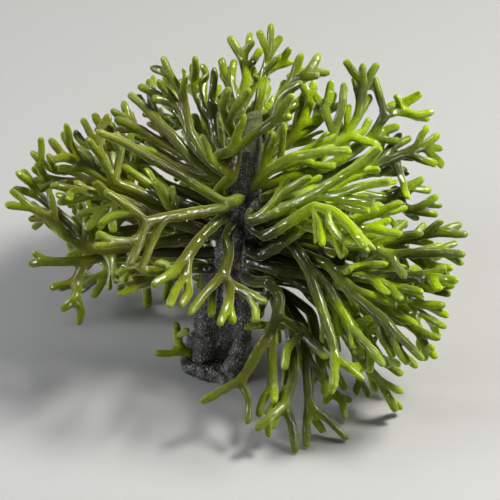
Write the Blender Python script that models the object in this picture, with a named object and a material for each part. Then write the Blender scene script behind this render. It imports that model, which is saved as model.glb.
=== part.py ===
"""Codium, a branching green seaweed, standing on its spongy holdfast.

The plant has a low felted holdfast with a flat underside, three felted stipes that rise from it, and
fronds that grow from the stipes and fork in two again and again into blunt round fingers. Every frond
is one solid, seated on its stipe with a hair's gap. Units in this file are millimetres until a mesh
is made, and +Z is up. The origin is the middle of the flat underside.
"""

import math

import bmesh
import bpy
import numpy as np
from mathutils import Vector
from mathutils.bvhtree import BVHTree

METRES = 0.001

# Driving dimensions.
FINGER_RADIUS = 2.15  # of a fingertip
FINGER_GROWTH = 0.011  # radius gained for each millimetre of frond that a branch carries
LIMB_RADIUS = 3.2  # the thickest that a frond gets
SEAT_GAP = 0.2  # between a piece and what it is seated on
SEAT_LIFT = 0.2  # a seat that still cuts into what it stands on is lifted in steps of this
CLEARANCE = 0.9  # least space between two branches
SIDES = 6  # corners round a branch
STIPE_SIDES = 8  # corners round a stipe
CORNER = 1.06  # corner radius of a branch, so that its flats and corners average to the round
FORK_WIDTH = 1.18  # a branch flattens and widens just below its fork
STRAIGHT_DEG = 10.5  # a bend under this needs no ring of its own
LONGEST_SPAN = 30.0  # between two rings

# The fronds are drawn on a plane that faces a viewer who looks down at this tilt: u runs to the
# right, v up the plane, and w out of it towards the viewer.
VIEW_TILT = math.radians(42.0)
FOOT_CENTRE = (-6.0, 2.0)  # where the middle of the holdfast's underside is, on the ground

# Each stipe is a chain of (x, y, z, radius), from the ground up.
STIPES = {
    "stipe_main": (
        (-14, -1, 4, 6.2), (-11, 3, 24, 6.6), (-8, 8, 50, 5.6), (0, 13, 77, 5.4),
        (7, 18, 102, 6.0), (12, 26, 124, 5.6), (13, 34, 137, 4.2),
    ),
    "stipe_right": (
        (1.5, -8, 4, 4.8), (7, -5, 20, 5.0), (9, 0, 38, 4.2), (10, 6, 56, 4.8), (12, 9, 74, 5.2),
        (13.5, 9.5, 92, 4.8), (14.2, 8.8, 101, 4.2),
    ),
    "stipe_back": (
        (5, 37, 4, 4.6), (2, 36, 28, 4.8), (-1, 36, 56, 5.0), (1, 39, 84, 4.8), (5, 44, 106, 4.0),
    ),
}

# The holdfast's outline on the ground, and its height at the shoulder.
HOLDFAST_OUTLINE = (
    (-22, -6), (-15, -11), (-8, -12), (-3, -16), (4, -16), (9.5, -10), (11.5, 4), (12, 20), (12, 36),
    (8, 46), (0, 45), (-3, 34), (-3, 18), (-6, 12), (-9, 20), (-15, 25), (-21, 20), (-24, 8),
)
HOLDFAST_HEIGHT = 6.0

# Fronds that show in front: stipe, how far out the tips come towards the viewer (w), and strokes.
# A stroke is a row of (u, v) points, and each later stroke starts on a point of an earlier one. A third
# number at a stroke's last point is its own w.
FRONDS = {
    "frond_front_left": ("stipe_main", 100, (
        ((6, 88), (0, 83.5)),
        ((0, 83.5), (-8, 79), (-20, 76.5), (-31, 74), (-39, 72.5)),
        ((0, 83.5), (-12, 90), (-24, 96), (-38, 104), (-52, 112.5), (-64.5, 117.5)),
        ((-39, 72.5), (-46, 77.5), (-60, 88.5)),
        ((-46, 77.5), (-56, 75.5), (-63.5, 70)),
        ((-39, 72.5), (-44, 64), (-49, 51)),
        ((-44, 64), (-55, 62.5), (-65, 68)),
        ((-55, 62.5), (-66, 60)),
        ((-31, 74), (-36.5, 64), (-42, 47.5)),
    )),
    "frond_front_fan": ("stipe_main", 96, (
        ((0, 80), (-7, 72), (-14, 65), (-20, 56)),
        ((-20, 56), (-28, 49), (-38, 41)),
        ((-28, 49), (-33, 51), (-40, 52)),
        ((-20, 56), (-21, 46)),
        ((-21, 46), (-26, 37), (-29, 30)),
        ((-21, 46), (-19, 38), (-22, 29)),
    )),
    "frond_front_centre": ("stipe_main", 92, (
        ((2, 76), (-1, 66), (0, 57), (0, 46)),
        ((0, 46), (-11, 37.5), (-21, 30)),
        ((0, 46), (1, 40)),
        ((1, 40), (0, 32)),
        ((0, 32), (-5, 20)),
        ((0, 32), (3, 21)),
        ((1, 40), (11, 37), (20, 32.5)),
        ((11, 37), (14, 30), (13.5, 23)),
    )),
    "frond_mid_stalk": ("stipe_main", 112, (
        ((4, 88), (0, 98), (0, 110), (-1, 122)),
        ((-1, 122), (5, 131), (13, 140)),
        ((-1, 122), (-3, 131), (2, 141)),
        ((0, 98), (-9, 107), (-14, 118)),
    )),
    "frond_left_low": ("stipe_main", 46, (
        ((-6, 60), (-20, 60), (-38, 59), (-55, 57), (-72, 54)),
        ((-72, 54), (-83, 54.5), (-92, 54)),
        ((-92, 54), (-98.5, 59)),
        ((-92, 54), (-101, 51.5)),
        ((-72, 54), (-75.5, 45)),
        ((-75.5, 45), (-76, 35)),
        ((-76, 35), (-84, 28.5)),
        ((-76, 35), (-73, 29), (-75, 21)),
        ((-75.5, 45), (-82, 42.5), (-90, 40)),
    )),
    "frond_left_under": ("stipe_main", 72, (
        ((-8, 53), (-18, 50.5), (-28, 48)),
        ((-28, 48), (-42, 49.5), (-56, 48, 76)),
        ((-28, 48), (-42, 43), (-57, 39.5, 62)),
        ((-42, 43), (-46, 50), (-58, 52.5, 40)),
    )),
    "frond_left_hook": ("stipe_main", 50, (
        ((-4, 64), (-22, 63), (-42, 60), (-60, 58.5), (-71, 60)),
        ((-71, 60), (-81, 67.5), (-90, 76)),
        ((-90, 76), (-99, 80.5), (-112, 82)),
        ((-90, 76), (-101, 74)),
        ((-71, 60), (-79, 71), (-87, 80), (-95, 87)),
        ((-95, 87), (-99, 93), (-102.5, 100)),
        ((-95, 87), (-108, 90.5)),
    )),
    "frond_left_bar": ("stipe_main", 68, (
        ((-3, 68), (-20, 72), (-38, 77), (-54, 83.5), (-68, 87)),
        ((-68, 87), (-78, 89), (-88.5, 92)),
        ((-68, 87), (-77, 83.5), (-85.5, 83)),
        ((-20, 72), (-29, 83), (-38, 95.5)),
        ((-54, 83.5), (-62, 79), (-76, 76)),
    )),
    "frond_left_mid": ("stipe_main", 60, (
        ((-1, 73), (-16, 78), (-32, 83), (-46, 88), (-56, 92)),
        ((-56, 92), (-61, 101), (-65, 110)),
        ((-65, 110), (-68, 117), (-73, 125)),
        ((-65, 110), (-73, 113), (-78, 118)),
        ((-56, 92), (-66, 98), (-75, 104)),
        ((-75, 104), (-83, 108), (-89.5, 115.5)),
        ((-75, 104), (-79, 111), (-82, 119.5)),
        ((-32, 83), (-42, 94), (-53, 101)),
    )),
    "frond_left_fan": ("stipe_main", 38, (
        ((-3, 70), (-18, 75), (-38, 82), (-56, 88.5), (-68, 94)),
        ((-68, 94), (-78, 100), (-87, 105.5)),
        ((-87, 105.5), (-91, 109), (-96, 113)),
        ((-87, 105.5), (-94, 106), (-101, 111)),
        ((-68, 94), (-80, 95), (-90, 97)),
        ((-90, 97), (-99, 103)),
        ((-90, 97), (-99, 94)),
        ((-38, 82), (-54, 75), (-70, 70)),
        ((-70, 70), (-83, 68)),
        ((-70, 70), (-79, 77)),
    )),
    "frond_left_back": ("stipe_main", 24, (
        ((0, 78), (-16, 85), (-32, 92), (-46, 98)),
        ((-46, 98), (-57, 102), (-68, 104)),
        ((-46, 98), (-54, 107), (-60, 113)),
        ((-60, 113), (-64, 120)),
    )),
    "frond_upper_left": ("stipe_main", 42, (
        ((3, 92), (-8, 98), (-20, 105)),
        ((-20, 105), (-28, 115), (-36, 124)),
        ((-36, 124), (-42, 131), (-49, 140)),
        ((-36, 124), (-39.5, 134), (-39.5, 146)),
        ((-20, 105), (-33, 113), (-45, 118.5)),
        ((-45, 118.5), (-57, 125)),
        ((-45, 118.5), (-58.5, 119)),
        ((-8, 98), (-22, 102), (-34, 108)),
        ((-34, 108), (-46, 110)),
        ((-34, 108), (-41, 116)),
    )),
    "frond_upper_left_tall": ("stipe_main", 48, (
        ((4, 95), (-6, 100), (-15, 108), (-19, 118), (-21, 128)),
        ((-21, 128), (-23, 138), (-30, 146)),
        ((-30, 146), (-33, 155.5)),
        ((-30, 146), (-39.5, 150.5)),
        ((-21, 128), (-27.5, 133.5)),
        ((-27.5, 133.5), (-35.5, 144.5)),
        ((-27.5, 133.5), (-36, 137), (-46.5, 140)),
    )),
    "frond_upper_mid": ("stipe_main", 34, (
        ((6, 97), (-3, 103), (-8, 112), (-9, 123)),
        ((-9, 123), (-8, 137), (-7, 151.5)),
        ((-9, 123), (-14, 132), (-17, 141)),
        ((-17, 141), (-18.5, 153)),
        ((-17, 141), (-11, 145), (-14, 153)),
        ((-3, 103), (-12, 111), (-20, 120), (-29, 133)),
    )),
    "frond_top": ("stipe_main", 52, (
        ((8, 110), (9, 116)),
        ((9, 116), (5, 124), (6, 134)),
        ((6, 134), (9, 145), (7, 155.5, 44)),
        ((7, 155.5), (0, 167, 42)),
        ((7, 155.5), (13, 165, 46)),
        ((6, 134), (1.5, 143), (3.5, 155, 48)),
        ((9, 116), (14, 126), (16, 136), (18, 146)),
        ((18, 146), (20.5, 156.5)),
        ((20.5, 156.5), (21, 172.5)),
        ((20.5, 156.5), (27, 166.5)),
        ((18, 146), (26, 152)),
        ((26, 152), (31.5, 160.5)),
        ((26, 152), (34, 153.5)),
    )),
    "frond_top_right": ("stipe_main", 66, (
        ((12, 113), (19, 122), (25, 132), (32, 142)),
        ((32, 142), (39.5, 147)),
        ((39.5, 147), (51, 147)),
        ((39.5, 147), (46.5, 157.5)),
        ((32, 142), (34, 149), (37.5, 158)),
    )),
    "frond_crown": ("stipe_main", 104, (
        ((8, 103), (9, 112)),
        ((9, 112), (4, 125.5)),
        ((9, 112), (19, 120), (27, 125)),
        ((27, 125), (33, 137)),
        ((27, 125), (34, 126)),
    )),
    "frond_right_up": ("stipe_main", 50, (
        ((11, 97), (22, 106.5), (33, 115.5)),
        ((33, 115.5), (39, 124), (42, 134), (43.5, 144.5)),
        ((33, 115.5), (43, 122), (49, 129)),
        ((49, 129), (53.5, 138.5)),
        ((49, 129), (58, 132)),
        ((22, 106.5), (27, 118), (30, 129, 30)),
    )),
    "frond_right_tall": ("stipe_main", 62, (
        ((12, 95), (26, 101), (40, 106), (50, 111)),
        ((50, 111), (55, 120), (57, 131), (57.5, 143)),
        ((50, 111), (59, 117), (65, 126), (67, 137)),
        ((67, 137), (67.5, 152)),
        ((67, 137), (75.5, 152.5)),
        ((59, 117), (67, 117), (72, 124, 56)),
    )),
    "frond_right_arc": ("stipe_main", 102, (
        ((8, 94), (16, 98)),
        ((16, 98), (31, 103.5), (46, 107), (60.5, 107.5)),
        ((16, 98), (20, 107), (23, 118)),
    )),
    "frond_right_crook": ("stipe_main", 54, (
        ((6, 90), (28, 94), (46, 100), (60, 106), (71, 116)),
        ((71, 116), (78, 126)),
        ((78, 126), (75, 136), (72.5, 146)),
        ((78, 126), (85, 128)),
        ((85, 128), (84, 137)),
        ((85, 128), (94, 126), (104, 128.5)),
        ((71, 116), (85.5, 121)),
    )),
    "frond_right_bright": ("stipe_right", 114, (
        ((16, 80), (26, 83.5), (37, 86.5), (50, 88)),
        ((50, 88), (61, 94), (70, 103), (79.5, 114)),
        ((50, 88), (60, 86.5)),
        ((60, 86.5), (73, 91.5), (85, 95)),
        ((60, 86.5), (70, 82), (78, 80)),
        ((26, 83.5), (36, 93), (50.5, 99.5)),
    )),
    "frond_right_hang": ("stipe_right", 122, (
        ((12, 72), (21, 73), (33, 77), (44, 81.5)),
        ((44, 81.5), (51, 77)),
        ((51, 77), (59, 69.5), (68.5, 60)),
        ((51, 77), (52, 70), (58.5, 62)),
        ((44, 81.5), (47, 72), (47, 60)),
    )),
    "frond_right_diagonal": ("stipe_right", 94, (
        ((11, 54), (20, 60), (30, 68.5), (39, 75), (48, 78.5)),
        ((48, 78.5), (60, 79), (73, 77.5)),
        ((48, 78.5), (57, 75), (65, 73)),
    )),
    "frond_right_spear": ("stipe_right", 88, (
        ((15, 76), (30, 75), (44, 73), (58, 71.5)),
        ((58, 71.5), (72, 70.5)),
        ((72, 70.5), (88.5, 66)),
        ((72, 70.5), (83, 75)),
        ((58, 71.5), (70, 76), (88.5, 83.5)),
        ((44, 73), (58, 65), (73, 62)),
    )),
    "frond_right_reach": ("stipe_right", 60, (
        ((15, 70), (34, 70), (52, 69), (67, 65.5), (81, 62)),
        ((81, 62), (93, 66), (105, 68)),
        ((105, 68), (120, 66.5)),
        ((105, 68), (117, 72)),
        ((81, 62), (92, 57), (103, 51)),
        ((103, 51), (112.5, 50)),
        ((103, 51), (109, 45)),
        ((93, 66), (99, 73)),
    )),
    "frond_right_hand": ("stipe_right", 74, (
        ((12, 66), (34, 64), (56, 63), (72, 61), (81, 56.5)),
        ((81, 56.5), (84, 50), (88.5, 44.5)),
        ((81, 56.5), (95, 58), (107, 57.5)),
        ((107, 57.5), (118.5, 57)),
        ((107, 57.5), (117.5, 51)),
        ((72, 61), (84, 66), (98, 67)),
    )),
    "frond_right_rim": ("stipe_right", 44, (
        ((17, 84), (36, 87), (50, 90)),
        ((50, 90), (62, 96), (76, 103)),
        ((76, 103), (88, 107), (97, 111)),
        ((97, 111), (106.5, 118)),
        ((97, 111), (108, 109.5)),
        ((76, 103), (82, 110), (92, 115.5)),
        ((50, 90), (64, 87), (78, 84)),
        ((78, 84), (90, 91)),
        ((90, 91), (98.5, 96)),
        ((90, 91), (102, 88.5)),
        ((78, 84), (92, 79)),
        ((92, 79), (105.5, 87)),
        ((92, 79), (106, 76.5)),
    )),
    "frond_right_deep": ("stipe_right", 30, (
        ((18, 82), (34, 91), (52, 99), (66, 103)),
        ((66, 103), (78, 108), (90, 107)),
        ((66, 103), (78, 98)),
        ((78, 98), (91, 100)),
        ((52, 99), (58, 108), (62, 118)),
    )),
    "frond_right_shelf": ("stipe_right", 76, (
        ((12, 57), (26, 50), (40, 47.5), (55, 47.5), (70, 45.5)),
        ((70, 45.5), (84, 42), (99, 39)),
        ((70, 45.5), (86, 46.5), (101, 47)),
        ((101, 47), (115, 44)),
        ((101, 47), (110, 52)),
        ((55, 47.5), (70, 52), (84, 51)),
    )),
    "frond_right_comb": ("stipe_right", 44, (
        ((14, 62), (38, 54), (58, 47)),
        ((58, 47), (76, 39), (88, 33)),
        ((88, 33), (100, 31)),
        ((100, 31), (111, 31.5)),
        ((100, 31), (112, 25)),
        ((88, 33), (99, 26), (111, 19.5)),
        ((58, 47), (78, 45), (97, 41)),
        ((97, 41), (115, 40.5)),
        ((97, 41), (113, 35.5)),
    )),
    "frond_right_palm": ("stipe_right", 68, (
        ((13, 60), (34, 53), (50, 45.5), (66, 39), (79, 32), (89, 23)),
        ((89, 23), (95.5, 17.5)),
        ((95.5, 17.5), (107, 14.5)),
        ((95.5, 17.5), (99, 10)),
        ((99, 10), (104.5, 5)),
        ((99, 10), (98, 2.5)),
        ((66, 39), (80, 37), (93, 34)),
    )),
    "frond_right_slope": ("stipe_right", 82, (
        ((13, 63), (33, 57), (48, 48), (61, 38), (74, 27), (84, 18)),
        ((84, 18), (91, 11.5), (97, 4)),
        ((84, 18), (85, 9), (91, 1.5)),
        ((61, 38), (73, 36), (84, 31)),
    )),
    "frond_right_low": ("stipe_right", 34, (
        ((14, 56), (34, 49), (56, 38), (70, 28)),
        ((70, 28), (84, 24), (97, 19)),
        ((70, 28), (80, 19)),
        ((80, 19), (92, 12)),
        ((80, 19), (84, 8)),
        ((56, 38), (74, 35), (92, 28)),
    )),
    "frond_right_inner": ("stipe_right", 22, (
        ((13, 60), (34, 59), (54, 57), (68, 55)),
        ((68, 55), (80, 58), (92, 62)),
        ((68, 55), (80, 52)),
        ((80, 52), (92, 53)),
    )),
    "frond_right_under": ("stipe_right", 54, (
        ((13, 58), (34, 47), (54, 33), (68, 22)),
        ((68, 22), (79, 16)),
        ((79, 16), (88, 15)),
        ((79, 16), (86, 8)),
        ((68, 22), (72, 12), (78, 4)),
        ((54, 33), (59, 22), (66, 14)),
    )),
    "frond_drape_right": ("stipe_right", 76, (
        ((15, 66), (31, 60), (44, 50)),
        ((44, 50), (46, 38), (49, 25), (52, 13), (53, 5)),
        ((53, 5), (52.5, -3), (53, -11)),
        ((53, 5), (61, 0), (68, -6)),
        ((44, 50), (53, 40), (57, 29), (62, 18)),
        ((62, 18), (71, 10.5), (79.5, 0)),
        ((62, 18), (62, 7)),
    )),
    "frond_drape": ("stipe_right", 60, (
        ((9, 50), (17, 51), (22, 46, 54)),
        ((22, 46), (24.5, 38), (25, 28, 58)),
        ((25, 28), (21, 18)),
        ((21, 18), (13, 5), (7, -6)),
        ((7, -6), (-3, -11), (-14, -17)),
        ((7, -6), (11, -17), (10, -29)),
        ((21, 18), (23, 5), (23.5, -8)),
        ((23.5, -8), (24, -18)),
        ((23.5, -8), (17, -17), (14, -25)),
        ((25, 28), (35, 20)),
        ((35, 20), (43, 12), (49, 5)),
        ((35, 20), (28, 10), (27.5, -2)),
    )),
    "frond_drape_inner": ("stipe_right", 60, (
        ((11, 45), (24, 38), (33, 26), (34, 12), (32, -3), (29, -17)),
        ((29, -17), (21, -25)),
        ((21, -25), (13.5, -31)),
        ((21, -25), (20, -35)),
        ((29, -17), (32, -29), (33.5, -43, 47)),
    )),
    "frond_drape_outer": ("stipe_right", 50, (
        ((12, 44), (26, 38)),
        ((26, 38), (37, 22), (39, 5), (39.5, -8), (41, -19)),
        ((41, -19), (39, -30), (39, -41, 44)),
        ((41, -19), (50, -26), (59, -38, 41)),
        ((26, 38), (40, 28), (44, 12), (47, -3), (51, -12, 34)),
        ((51, -12), (57.5, -17), (59, -27, 34)),
        ((51, -12), (48, -20, 32)),
    )),
    "frond_floor": ("stipe_right", 40, (
        ((14, 53), (36, 42)),
        ((36, 42), (54, 24), (66, 6), (76, -7)),
        ((76, -7), (88, -13)),
        ((76, -7), (80, -14), (85, -22.5)),
        ((36, 42), (58, 24), (72, 8, 30)),
        ((72, 8), (81, 1), (89, -4, 28)),
        ((72, 8), (71, -3, 26)),
    )),
    "sprouts": ("stipe_main", 14, (
        ((-18, 9), (-24, 8.5)),
        ((-24, 8.5), (-30, 6), (-38, 7, 8)),
        ((-24, 8.5), (-26, 14)),
        ((-26, 14), (-27, 23, 16)),
        ((-26, 14), (-20.5, 19, 22)),
    )),
    "sprout_hanging": ("stipe_main", 48, (
        ((-10, 42), (-7.5, 35), (-8, 25)),
    )),
}

# Fronds that fill the far side, on the back stipe: root height, heading, rise, reach and number of
# forks in a row. A heading of 0 points away from the viewer, and it turns clockwise from above.
BACK_FRONDS = {
    "frond_back_left_low": (30, -72, 0, 84, 3),
    "frond_back_low": (24, -34, -4, 80, 3),
    "frond_back_right_low": (26, 22, -10, 80, 3),
    "frond_back_left_side": (58, -88, 8, 82, 3),
    "frond_back_left_mid": (54, -52, 8, 88, 3),
    "frond_back_mid": (62, -10, 6, 84, 3),
    "frond_back_right_mid": (50, 44, 0, 84, 3),
    "frond_back_left_high": (80, -62, 16, 76, 3),
    "frond_back_high": (88, -24, 14, 68, 3),
    "frond_back_right_high": (80, 24, 14, 70, 3),
    "frond_back_top": (102, 4, 40, 46, 2),
}
BACK_SPREAD_DEG = 24.0  # half the angle of a fork
FORK_LEAN = 3.0  # how far one branch of a drawn fork comes forward, and the other goes back
BACK_SAG = 0.16  # how far a branch drops below its line, as a share of its length

# How the branches are eased apart.
EASE_ROUNDS = 300
EASE_PUSH = 0.4
MEMORY = 0.04  # pull back to the drawn place, in each round
STEEP_LEAVE_DEG = 36.0  # a frond that leaves its stipe at more than this from straight out gets a knee
KNEE_REACH = 5.5  # how far out of its stipe a knee is


def world(u, v, w):
    """The place of a point of the drawing plane, in the plant's own axes."""
    return Vector((
        u,
        v * math.sin(VIEW_TILT) - w * math.cos(VIEW_TILT),
        v * math.cos(VIEW_TILT) + w * math.sin(VIEW_TILT),
    ))


def drawn(point):
    """u, v and w of a place."""
    return (
        point.x,
        point.y * math.sin(VIEW_TILT) + point.z * math.cos(VIEW_TILT),
        point.z * math.sin(VIEW_TILT) - point.y * math.cos(VIEW_TILT),
    )


def stipe_points(stipe, step=2.0):
    """Places along a stipe's axis, with its radius there."""
    found = []
    chain = STIPES[stipe]
    for (ax, ay, az, ar), (bx, by, bz, br) in zip(chain, chain[1:]):
        a, b = Vector((ax, ay, az)), Vector((bx, by, bz))
        count = max(1, round((b - a).length / step))
        found += [(a.lerp(b, k / count), ar + (br - ar) * k / count) for k in range(count)]
    return found + [(Vector(chain[-1][:3]), chain[-1][3])]


class Frond:
    """A forking line: points, the point that each grows from, and the radius at each."""

    def __init__(self, name, stipe):
        self.name = name
        self.stipe = stipe
        self.points = []
        self.parent = []

    def add(self, point, parent):
        self.points.append(Vector(point))
        self.parent.append(parent)
        return len(self.points) - 1

    def children(self, index):
        return [k for k, p in enumerate(self.parent) if p == index]

    def carried(self, index):
        """Length of the longest run of frond beyond a point."""
        runs = [
            (self.points[k] - self.points[index]).length + self.carried(k)
            for k in self.children(index)
        ]
        return max(runs, default=0.0)

    def set_radii(self):
        self.radius = [
            min(LIMB_RADIUS, FINGER_RADIUS + FINGER_GROWTH * self.carried(k))
            for k in range(len(self.points))
        ]


def drawn_frond(name, stipe, tip_w, strokes):
    """A frond from its strokes. Depth runs evenly along a stroke, to its own w or towards tip_w."""
    run, parents, order, ends = {strokes[0][0]: 0.0}, {strokes[0][0]: None}, [strokes[0][0]], {}
    for stroke in strokes:
        flat = [point[:2] for point in stroke]
        for before, after in zip(flat, flat[1:]):
            run[after] = run[before] + math.dist(before, after)
            parents[after] = before
            order.append(after)
        if len(stroke[-1]) == 3:
            ends[flat[-1]] = stroke[-1][2]
    longest = max(run.values())
    axis, thick = min(
        stipe_points(stipe), key=lambda s: math.dist(drawn(s[0])[:2], order[0])
    )
    depth = {order[0]: drawn(axis)[2]}
    for stroke in strokes:
        flat = [point[:2] for point in stroke]
        start, end = flat[0], flat[-1]
        twins = [k for k in order if parents[k] == start]
        # Of two branches at a fork, one comes forward a little and the other goes back.
        turn = 0.0 if len(twins) == 1 else (FORK_LEAN if twins[0] == flat[1] else -FORK_LEAN)
        plain = depth[order[0]] + (tip_w - depth[order[0]]) * run[end] / longest + turn
        target = ends.get(end, plain)
        for uv in flat[1:]:
            share = (run[uv] - run[start]) / (run[end] - run[start])
            depth[uv] = depth[start] + (target - depth[start]) * share
    frond = Frond(name, stipe)
    index = {None: None}
    for uv in order:
        index[uv] = frond.add(world(*uv, depth[uv]), index[parents[uv]])
    seat_on_axis(frond, axis, thick)
    return frond


def seat_on_axis(frond, axis, thick):
    """Moves a frond's first point to its stipe's surface, on the side that the frond leaves from.

    A frond that would run along the stipe gets a knee, so that it first leaves the stipe.
    """
    out = frond.points[1] - axis
    out = (out - out.project(Vector((0, 0, 1)))).normalized()
    root = axis + out * thick
    frond.points[0] = root
    ahead = frond.points[1] - root
    if ahead.length > KNEE_REACH * 2 and ahead.angle(out) > math.radians(STEEP_LEAVE_DEG):
        frond.points.insert(1, root + out * KNEE_REACH + ahead.normalized() * 2.0)
        frond.parent = [None, 0] + [p + 1 for p in frond.parent[1:]]


def back_frond(name, height, heading, rise, reach, forks):
    """A frond of the far side: a stem that arches out and forks in two, turned at each fork."""
    heading, rise = math.radians(heading), math.radians(rise)
    out = Vector((math.sin(heading), math.cos(heading), 0))
    aim = (out * math.cos(rise) + Vector((0, 0, 1)) * math.sin(rise)).normalized()
    axis, thick = min(stipe_points("stipe_back"), key=lambda s: abs(s[0].z - height))
    frond = Frond(name, "stipe_back")
    start = frond.add(axis + out * thick, None)
    stem = reach * (0.42 if forks == 3 else 0.5)
    spread = math.radians(BACK_SPREAD_DEG)
    side = aim.cross(Vector((0, 0, 1))).normalized()

    def grow(at, heading_now, across, length, left):
        """Adds a branch, arched where it is long, then its fork."""
        start_place = frond.points[at]
        if length > 20:
            arch = Vector((0, 0, BACK_SAG * length * 0.4))
            at = frond.add(start_place + heading_now * length * 0.5 + arch, at)
        drop = Vector((0, 0, BACK_SAG * length * 0.2))
        end = frond.add(start_place + heading_now * length - drop, at)
        if left == 0:
            return
        share = (reach - stem) / forks
        normal = heading_now.cross(across).normalized()
        for turn in (1, -1):
            angle = spread * turn * (1.0 if left > 1 else 0.9)
            ahead = (heading_now * math.cos(angle) + across * math.sin(angle)).normalized()
            # The next fork opens across this one, half turned, so that the frond is bushy.
            grow(end, ahead, (normal * 0.8 + across * 0.6 * turn).normalized(), share, left - 1)

    grow(start, aim, side, stem, forks)
    return frond


def closest(p1, q1, p2, q2):
    """Nearest places of many pairs of straight spans: their shares along, and the vector between."""
    d1, d2, r = q1 - p1, q2 - p2, p1 - p2
    a, e, f = (d1 * d1).sum(1), (d2 * d2).sum(1), (d2 * r).sum(1)
    c, b = (d1 * r).sum(1), (d1 * d2).sum(1)
    denom = a * e - b * b
    s = np.clip(np.where(denom > 1e-9, (b * f - c * e) / np.maximum(denom, 1e-9), 0.5), 0, 1)
    t = (b * s + f) / e
    t_clipped = np.clip(t, 0, 1)
    s = np.where(t == t_clipped, s, np.clip((b * t_clipped - c) / a, 0, 1))
    gap = (p1 + d1 * s[:, None]) - (p2 + d2 * t_clipped[:, None])
    return s, t_clipped, gap


def ease_apart(fronds):
    """Pushes branches that touch away from each other.

    Every span keeps its length, except a frond's first. A root slides over its stipe until it has
    room. Nothing goes into a stipe or the ground.
    """
    place, thick, spans, owner, roots, first, before = [], [], [], [], [], [], []
    for number, frond in enumerate(fronds):
        base = len(place)
        roots.append(base)
        for k, (point, radius) in enumerate(zip(frond.points, frond.radius)):
            place.append(tuple(point))
            thick.append(radius * CORNER)
            before.append(base + (frond.parent[k] if k else 0))
            if k:
                spans.append((base + frond.parent[k], base + k))
                owner.append(number)
                first.append(frond.parent[k] == 0)
    place, thick = np.array(place), np.array(thick)
    spans, owner, first, before = np.array(spans), np.array(owner), np.array(first), np.array(before)
    a, b = spans.T
    drawn_at = place.copy()
    rest = np.linalg.norm(place[b] - place[a], axis=1)
    i, j = np.triu_indices(len(spans), 1)
    apart = (a[i] != a[j]) & (a[i] != b[j]) & (b[i] != a[j]) & (b[i] != b[j])
    i, j = i[apart], j[apart]
    posts, post_owner = [], []
    for stipe, chain in STIPES.items():
        for low, high in zip(chain, chain[1:]):
            posts.append((low, high))
            post_owner.append(stipe)
    low = np.array([p[0] for p in posts], float)
    high = np.array([p[1] for p in posts], float)
    si, pj = np.divmod(np.arange(len(spans) * len(posts)), len(posts))
    own = np.array([fronds[owner[k]].stipe == post_owner[p] and first[k] for k, p in zip(si, pj)])
    si, pj = si[~own], pj[~own]
    is_tip = np.ones(len(place), bool)
    is_tip[before] = False
    stipe_axis = {s: np.array([[*p, r] for p, r in stipe_points(s)]) for s in STIPES}
    for turn in range(EASE_ROUNDS):
        push = np.zeros_like(place)
        s, t, gap = closest(place[a[i]], place[b[i]], place[a[j]], place[b[j]])
        far = np.linalg.norm(gap, axis=1)
        need = (
            thick[a[i]] * (1 - s) + thick[b[i]] * s + thick[a[j]] * (1 - t) + thick[b[j]] * t + CLEARANCE
        )
        hit = far < need
        way = gap[hit] / np.maximum(far[hit], 1e-6)[:, None] * (need - far)[hit, None] * EASE_PUSH
        for ends, share, sign in ((a[i], 1 - s, 1), (b[i], s, 1), (a[j], 1 - t, -1), (b[j], t, -1)):
            np.add.at(push, ends[hit], way * share[hit, None] * sign)
        s, t, gap = closest(place[a[si]], place[b[si]], low[pj, :3], high[pj, :3])
        far = np.linalg.norm(gap, axis=1)
        need = thick[a[si]] * (1 - s) + thick[b[si]] * s + CLEARANCE + 0.6
        need += low[pj, 3] * (1 - t) + high[pj, 3] * t
        hit = far < need
        way = gap[hit] / np.maximum(far[hit], 1e-6)[:, None] * (need - far)[hit, None]
        np.add.at(push, a[si][hit], way * (1 - s)[hit, None])
        np.add.at(push, b[si][hit], way * s[hit, None])
        place += push
        if turn < EASE_ROUNDS * 0.6:
            place += MEMORY * (drawn_at - place)
        span = place[b] - place[a]
        length = np.linalg.norm(span, axis=1)
        fix = span / length[:, None] * (length - rest)[:, None]
        fix[first] = 0.0
        np.add.at(place, a, fix * 0.3)
        np.add.at(place, b, -fix * 0.6)
        for number, frond in enumerate(fronds):
            axis = stipe_axis[frond.stipe]
            leave = thick[roots[number] + 1] + CLEARANCE + 0.6
            for at, lift in ((roots[number], 0.0), (roots[number] + 1, leave)):
                away = place[at] - axis[:, :3]
                near = np.argmin(np.linalg.norm(away, axis=1))
                out = away[near] / np.linalg.norm(away[near])
                least = axis[near, 3] + lift
                if lift == 0.0 or np.linalg.norm(away[near]) < least:
                    place[at] = axis[near, :3] + out * least
        drop = (place[before] - place)[:, 2] / np.maximum(np.linalg.norm(place - place[before], axis=1), 1.0)
        low_tip = thick * (0.96 * np.sqrt(np.clip(1 - drop * drop, 0, 1)) - 0.71 * np.clip(drop, -1, 1))
        place[:, 2] = np.maximum(place[:, 2], np.where(is_tip, np.maximum(low_tip, 0.0), thick) + 0.15)
    for number, frond in enumerate(fronds):
        for k in range(len(frond.points)):
            frond.points[k] = Vector(place[roots[number] + k])


def new_object(name, mesh_data, material):
    mesh = bpy.data.meshes.new(name)
    mesh_data.to_mesh(mesh)
    mesh_data.free()
    mesh.shade_smooth()
    mesh.set_sharp_from_angle(angle=math.radians(50))
    mesh.materials.append(material)
    made = bpy.data.objects.new(name, mesh)
    bpy.context.scene.collection.objects.link(made)
    made.parent = bpy.data.objects["codium"]
    return made


def ring(bm, centre, axis, up, radius, wide=1.0):
    """Corners round a branch, the first along up, the rest turning towards the side axis x up."""
    side = axis.cross(up).normalized() * wide
    corners = []
    for k in range(SIDES):
        angle = 2 * math.pi * k / SIDES
        offset = (up * math.cos(angle) + side * math.sin(angle)) * radius * CORNER
        corners.append(bm.verts.new((centre + offset) * METRES))
    return corners


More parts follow.
